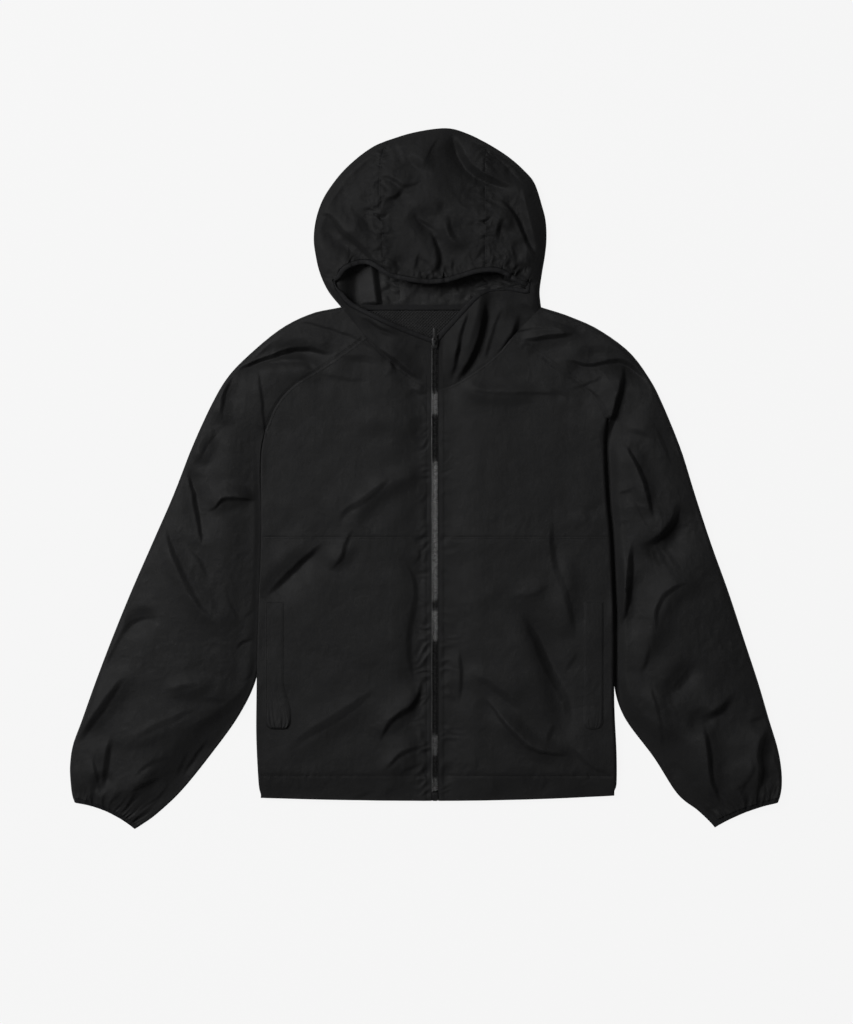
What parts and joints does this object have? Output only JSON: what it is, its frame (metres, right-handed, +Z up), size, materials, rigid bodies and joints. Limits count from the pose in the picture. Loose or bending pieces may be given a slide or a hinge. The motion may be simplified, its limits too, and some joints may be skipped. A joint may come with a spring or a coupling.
{
  "type": "hooded windbreaker jacket, laid flat",
  "caption": "Hooded zip-front windbreaker with raglan sleeves, laid flat on its back, with a pull tab that turns over.",
  "frame": {"origin": "on the underside of the back panel, on the centre line at armpit level", "axes": "+X towards the wearer's left, +Y towards the hood, +Z up from the surface the jacket lies on"},
  "size_m": [0.9457, 0.9309, 0.0325],
  "materials": {
    "shell": "light plain-weave nylon, soft low sheen",
    "elastic": "folded elastic binding, matte",
    "mesh_lining": "knitted mesh, matte",
    "tape": "woven tape, matte",
    "zip_teeth": "moulded plastic teeth",
    "zip_metal": "black painted die casting"
  },
  "bodies": {
    "jacket": {"back_panel": "shell", "front_upper_left": "shell", "front_upper_right": "shell", "front_lower_left": "shell", "front_lower_right": "shell", "pocket_welt_left": "shell", "pocket_welt_right": "shell", "sleeve_left_front": "shell", "sleeve_left_back": "shell", "sleeve_right_front": "shell", "sleeve_right_back": "shell", "cuff_left_front": "elastic", "cuff_left_back": "elastic", "cuff_right_front": "elastic", "cuff_right_back": "elastic", "hood_center": "shell", "hood_side_left": "shell", "hood_side_right": "shell", "hood_binding": "elastic", "neck_lining": "mesh_lining", "back_neck_tape": "tape", "zip_tape_left": "tape", "zip_tape_right": "tape", "zip_chain": "zip_teeth", "zip_box": "zip_metal", "zip_slider": "zip_metal"},
    "pull_tab": {"pull_tab": "zip_metal"}
  },
  "joints": [
    {"name": "pull_tab_hinge", "type": "hinge", "parent": "jacket", "child": "pull_tab", "pos_m": [0, 0.1825, 0.0179], "axis": [1, 0, 0], "range_deg": [0, 180]}
  ]
}
